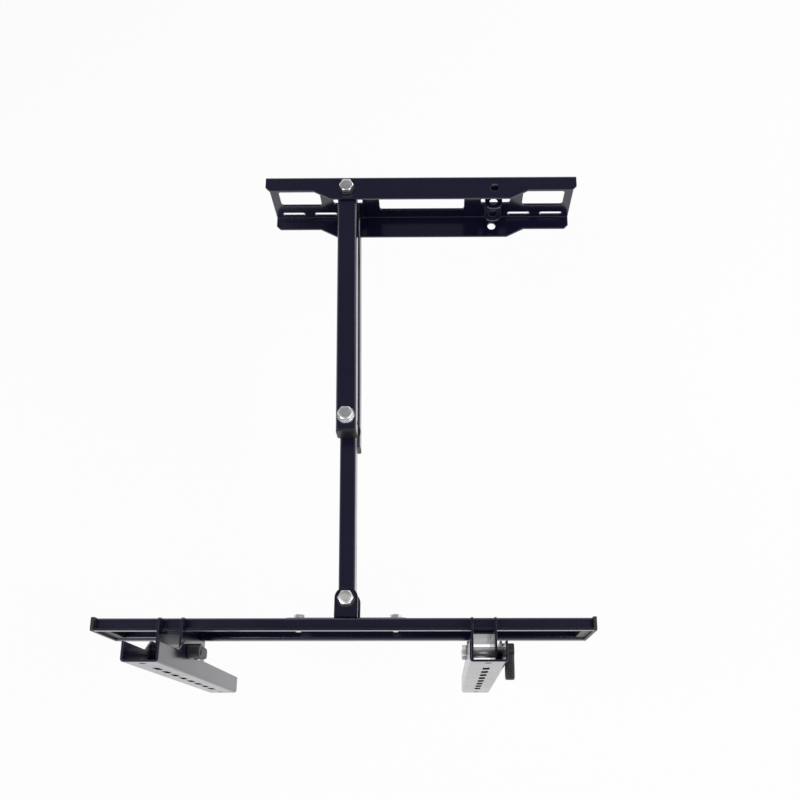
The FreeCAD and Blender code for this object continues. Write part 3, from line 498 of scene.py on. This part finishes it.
def lever_arm(seat, axis, along):
    """A lever's arm: a rounded-rectangle section carried from the hub to the tip.

    At distance x the section is the superellipse |u / w|^5 + |v / h|^5 = 1. w tapers from hub to tip, dips
    as a cosine in each of a row of grip grooves, and shrinks as a quarter circle over the rounded tip; h
    loses a quarter of itself there, and the end is closed.
    """
    axis, along = np.array(axis, float), np.array(along, float)
    across = np.cross(axis, along)
    x = np.concatenate([
        np.linspace(ARM_START, GRIP_START, 8),
        np.linspace(GRIP_START + ROW_GAP, GRIP_STOP, 90),
        np.linspace(GRIP_STOP + ROW_GAP, LEVER_REACH, 24),
    ])
    t = np.arange(ARM_COLUMNS) * 2 * np.pi / ARM_COLUMNS
    tip = np.sqrt(np.clip(1 - ((x - LEVER_REACH + TIP_ROUND) / TIP_ROUND).clip(0, 1) ** 2, 0, 1))
    dips = 0.5 - 0.5 * np.cos(2 * np.pi * (x - GRIP_START) / GRIP_PITCH)
    grooves = GRIP_DEEP * dips * ((x > GRIP_START) & (x < GRIP_END))
    root = LEVER_HUB * ARM_ROOT
    wide = (root + (LEVER_TIP - root) * x / LEVER_REACH - grooves) * tip
    thick = LEVER_THICK / 2 * (TIP_THICK + (1 - TIP_THICK) * tip) * (tip > 0)
    u = np.sign(np.cos(t)) * np.abs(np.cos(t)) ** SQUARENESS
    v = np.sign(np.sin(t)) * np.abs(np.sin(t)) ** SQUARENESS
    middle = np.array(seat) + axis * (LEVER_LONG - LEVER_THICK / 2) * MM
    path = middle + along * x[:, None] * MM
    ring = across * (wide[:, None] * u)[..., None] * MM + axis * (thick[:, None] * v)[..., None] * MM
    grid = path[:, None, :] + ring
    ends = [np.repeat(grid[k].mean(0)[None], len(t), 0)[None] for k in (0, -1)]
    return np.concatenate([ends[0], grid, ends[1]])


def join_shells(piece, name, sheet):
    """Adds a closed grid to a piece as one shell, so that nothing of either is left inside the other."""
    added = bpy.data.objects.new(name, grid_mesh(name, [(sheet, False)]))
    bpy.context.scene.collection.objects.link(added)
    union = piece.modifiers.new("union", "BOOLEAN")
    union.operation = "UNION"
    union.solver = "EXACT"
    union.object = added
    graph = bpy.context.evaluated_depsgraph_get()
    whole = bpy.data.meshes.new_from_object(piece.evaluated_get(graph))
    piece.modifiers.clear()
    piece.data = whole
    close_shell(whole, JOIN_MERGE)
    bpy.data.objects.remove(added)


def weld_bead(start, end, out, up):
    """A fillet weld from start to end in the corner of two faces that run along out and up.

    P(s, a) = line(s) + r(s) (cos a out + sin a up) over a quarter turn, closed behind the corner, with
    r = size (flat + swell |sin(pi x / ripple)|) at distance x, and size drawn in at both ends as sqrt(sin).
    """
    start, end, out, up = (np.array(v, float) for v in (start, end, out, up))
    s = np.linspace(0, 1, 90)
    length = np.linalg.norm(end - start)
    swing = np.sin(np.pi * s.clip(WELD_NEAR, 1 - WELD_NEAR))
    size = WELD_SIZE * MM * np.sqrt(swing.clip(0, WELD_FULL) / WELD_FULL)
    ripples = np.abs(np.sin(np.pi * s * length / (WELD_RIPPLE * MM)))
    r = size * (WELD_FLAT + WELD_SWELL * ripples)
    a = np.linspace(0, np.pi / 2, 9)
    curve = np.cos(a)[:, None] * out + np.sin(a)[:, None] * up
    line = start + (end - start) * s[:, None]
    grid = line[:, None] + r[:, None, None] * curve
    root = line[:, None] - WELD_ROOT * MM * (out + up)
    shell = np.concatenate([root, grid], 1)
    ends = [np.repeat(line[k][None, None], shell.shape[1], 1) for k in (0, -1)]
    return np.concatenate([ends[0], shell, ends[1]])


def middle_of(node):
    """A node's box at rest as its lowest corner, highest corner and middle, in metres."""
    low, high = (np.array(corner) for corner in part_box(node))
    return low, high, (low + high) / 2


def dress_bolt(node, axis, first, across, tall, radius, pitch):
    """Stands a bolt skin where a bolt node is: its axis runs through the node's middle, head end first."""
    low, high, middle = middle_of(node)
    half = (high - low) @ np.abs(axis) / 2
    seat = middle + axis * (half - tall * MM)
    grip = 2 * half / MM - tall
    sheet = bolt_skin(seat, axis, first, across, tall, radius, grip, pitch)
    skin_mesh(node + "_skin", [(sheet, False)], BODY_OF[node], node, "zinc_plate")


def dress_nut(node, axis, first, across, radius):
    """Stands a nut skin where a nut node is: axis points away from the face that the nut is tightened on."""
    low, high, middle = middle_of(node)
    half = (high - low) @ np.abs(axis) / 2
    sheet = nut_skin(middle - axis * half, axis, first, across, 2 * half / MM, radius + NUT_SLACK)
    skin_mesh(node + "_skin", [(sheet, True)], BODY_OF[node], node, "zinc_plate")


def dress_fasteners():
    """All fasteners: pivots and thumb screws stand up, rail bolts face the wall, the rest lie along X."""
    for name in ("wall_pivot", "elbow", "head_pivot"):
        dress_bolt(name + "_bolt", UP, RIGHT, HEX_12, HEAD_12, BOLT_12, PITCH_12)
        dress_nut(name + "_nut", -UP, RIGHT, HEX_12, BOLT_12)
    for hand in ("left", "right"):
        dress_bolt(hand + "_rail_bolt", TO_WALL, RIGHT, HEX_8, RAIL_HEAD, BOLT_8, PITCH_8)
        dress_nut(hand + "_rail_nut", -TO_WALL, RIGHT, HEX_8, BOLT_8)
        dress_bolt(hand + "_tilt_bolt", -RIGHT, UP, HEX_8, PIN_HEAD, BOLT_8, PITCH_8)
        dress_bolt(hand + "_lock_bolt", -RIGHT, UP, HEX_8, PIN_HEAD, BOLT_8, PITCH_8)
        dress_nut(hand + "_tilt_nut", RIGHT, UP, HEX_8, BOLT_8)
        node = hand + "_safety_screw"
        low, high, middle = middle_of(node)
        seat = (middle[0], middle[1], low[2] + THUMB_TALL * MM)
        rise = (high[2] - seat[2]) / MM
        sheet = thumb_screw_skin(seat, UP, RIGHT, rise)
        skin_mesh(node + "_skin", [(sheet, False)], BODY_OF[node], node, "zinc_plate")


def dress_levers():
    """Both clamp levers at their clamp bolts: the left one hangs down, the right one points to the room."""
    joints = frame["record"]["behaviour"]["joints"]
    seats = {joint["child"]: joint["pos_m"] for joint in joints if joint["name"].endswith("lever_turn")}
    for hand, along in (("left", -UP), ("right", -TO_WALL)):
        seat = seats[hand + "_lever"]
        node = hand + "_clamp_lever"
        hub = lever_hub(seat, RIGHT, along)
        lever = skin_mesh(node + "_skin", [(hub, False)], BODY_OF[node], node, "black_plastic")
        join_shells(lever, node + "_arm", lever_arm(seat, RIGHT, along))


def dress_welds():
    """Painted fillet welds over and under each lug, where it meets the wall plate's web."""
    for node in ("left_upper_lug", "left_lower_lug", "right_upper_lug", "right_lower_lug"):
        low, high, _ = middle_of(node)
        beads = []
        for height, side in ((high[2], UP), (low[2], -UP)):
            start = (low[0] + MM, high[1], height)
            end = (high[0] - MM, high[1], height)
            beads.append((weld_bead(start, end, -TO_WALL, side), False))
        skin_mesh(node + "_weld", beads, BODY_OF[node], None, "satin_black_paint")


dress_fasteners()
dress_levers()
dress_welds()


def pale_floor():
    """A flat square under the mount that takes a soft shadow, and fades to plain white far from the mount.

    To the eye and in reflections a share of it glows at 1, and the share rises with the distance from the
    origin, so that no edge shows against the white sky.
    """
    half, level = FLOOR_HALF, FLOOR_LEVEL
    corners = [(-half, -half, level), (half, -half, level), (half, half, level), (-half, half, level)]
    sheet = bpy.data.meshes.new("floor")
    sheet.from_pydata(corners, [], [(0, 1, 2, 3)])
    floor = bpy.data.objects.new("floor", sheet)
    bpy.context.scene.collection.objects.link(floor)
    made = bpy.data.materials.new("pale_floor")
    made.use_nodes = True
    tree = made.node_tree
    tree.nodes.clear()
    link = tree.links.new
    out = add_node(tree, "ShaderNodeOutputMaterial", (600, 0))
    chalk = add_node(tree, "ShaderNodeBsdfDiffuse", (0, 100), Color=FLOOR_CHALK)
    glow = add_node(tree, "ShaderNodeEmission", (0, -100), Strength=1.0)
    ray = add_node(tree, "ShaderNodeLightPath", (-600, 0))
    seen = add_node(tree, "ShaderNodeMath", (-300, 0), operation="ADD", use_clamp=True)
    seen_through = add_node(tree, "ShaderNodeMath", (-150, 0), operation="ADD", use_clamp=True)
    place = add_node(tree, "ShaderNodeTexCoord", (-900, 300))
    away = add_node(tree, "ShaderNodeVectorMath", (-700, 300), operation="LENGTH")
    share = range_node(tree, (-450, 300), (FADE_START, FADE_END), (GLOW_NEAR, GLOW_FAR))
    part_glow = add_node(tree, "ShaderNodeMath", (0, 300), operation="MULTIPLY")
    both = add_node(tree, "ShaderNodeMixShader", (300, 0))
    link(place.outputs["Object"], away.inputs[0])
    link(away.outputs["Value"], share.inputs["Value"])
    link(share.outputs["Result"], part_glow.inputs[1])
    link(ray.outputs["Is Camera Ray"], seen.inputs[0])
    link(ray.outputs["Is Glossy Ray"], seen.inputs[1])
    link(seen.outputs["Value"], seen_through.inputs[0])
    link(ray.outputs["Is Transmission Ray"], seen_through.inputs[1])
    link(seen_through.outputs["Value"], part_glow.inputs[0])
    link(part_glow.outputs["Value"], both.inputs["Fac"])
    link(chalk.outputs["BSDF"], both.inputs[1])
    link(glow.outputs["Emission"], both.inputs[2])
    link(both.outputs["Shader"], out.inputs["Surface"])
    sheet.materials.append(made)


def studio_world():
    """A white sky to the eye, dimmer overhead in reflections, and gentler where it lights matt surfaces."""
    world = bpy.data.worlds.new("studio")
    world.use_nodes = True
    bpy.context.scene.world = world
    tree = world.node_tree
    tree.nodes.clear()
    link = tree.links.new
    out = add_node(tree, "ShaderNodeOutputWorld", (800, 0))
    place = add_node(tree, "ShaderNodeTexCoord", (-800, 0))
    split = add_node(tree, "ShaderNodeSeparateXYZ", (-600, 0))
    climb = range_node(tree, (-400, 0), (DIM_START, DIM_END), (SKY_HORIZON, SKY_OVERHEAD))
    ray = add_node(tree, "ShaderNodeLightPath", (-600, 300))
    seen = add_node(tree, "ShaderNodeMath", (-300, 300), operation="ADD", use_clamp=True)
    mirrored = add_node(tree, "ShaderNodeMix", (-100, 0), data_type="FLOAT")
    mirrored.inputs["A"].default_value = SKY_LIGHT
    level = add_node(tree, "ShaderNodeMix", (200, 100), data_type="FLOAT")
    level.inputs["B"].default_value = SKY_SEEN
    sky = add_node(tree, "ShaderNodeBackground", (500, 0), Color=(1, 1, 1, 1))
    link(place.outputs["Generated"], split.inputs["Vector"])
    link(split.outputs["Z"], climb.inputs["Value"])
    link(ray.outputs["Is Camera Ray"], seen.inputs[0])
    link(ray.outputs["Is Transmission Ray"], seen.inputs[1])
    link(ray.outputs["Is Glossy Ray"], mirrored.inputs["Factor"])
    link(climb.outputs["Result"], mirrored.inputs["B"])
    link(mirrored.outputs["Result"], level.inputs["A"])
    link(seen.outputs["Value"], level.inputs["Factor"])
    link(level.outputs["Result"], sky.inputs["Strength"])
    link(sky.outputs["Background"], out.inputs["Surface"])


def soft_lamp(name, place, power):
    """A square area lamp at a place, turned to face the lamps' aim point."""
    light = bpy.data.lights.new(name, "AREA")
    light.size = LAMP_SIDE
    light.energy = power
    lamp = bpy.data.objects.new(name, light)
    lamp.location = place
    lamp.rotation_euler = (Vector(LAMP_AIM) - Vector(place)).to_track_quat("-Z", "Y").to_euler()
    bpy.context.scene.collection.objects.link(lamp)


def overhead_camera():
    """A camera over the arm that looks down, leaned towards the wall by its tilt and sideways by its yaw.

    The view direction is (sin yaw cos tilt, sin tilt, -cos tilt cos yaw), and +Y is up in the picture.
    """
    lean, swing = math.radians(EYE_TILT), math.radians(EYE_YAW)
    look = Vector((math.sin(swing) * math.cos(lean), math.sin(lean), -math.cos(lean) * math.cos(swing)))
    look.normalize()
    right = look.cross(Vector((0, 1, 0))).normalized()
    up = right.cross(look)
    eye = bpy.data.cameras.new("camera")
    eye.sensor_width = SENSOR
    eye.lens = FOCAL_PIXELS / FRAME_PIXELS * SENSOR
    eye.shift_x, eye.shift_y = LENS_SHIFT
    eye.clip_start, eye.clip_end = CLIP_NEAR, CLIP_FAR
    stand = bpy.data.objects.new("camera", eye)
    facing = Matrix((right, up, -look)).transposed().to_4x4()
    stand.matrix_world = Matrix.Translation(EYE_PLACE) @ facing
    bpy.context.scene.collection.objects.link(stand)
    bpy.context.scene.camera = stand


pale_floor()
studio_world()
for lamp_name, (lamp_place, watts) in LAMPS.items():
    soft_lamp(lamp_name, lamp_place, watts)
overhead_camera()
bpy.context.scene.view_settings.view_transform = "Standard"
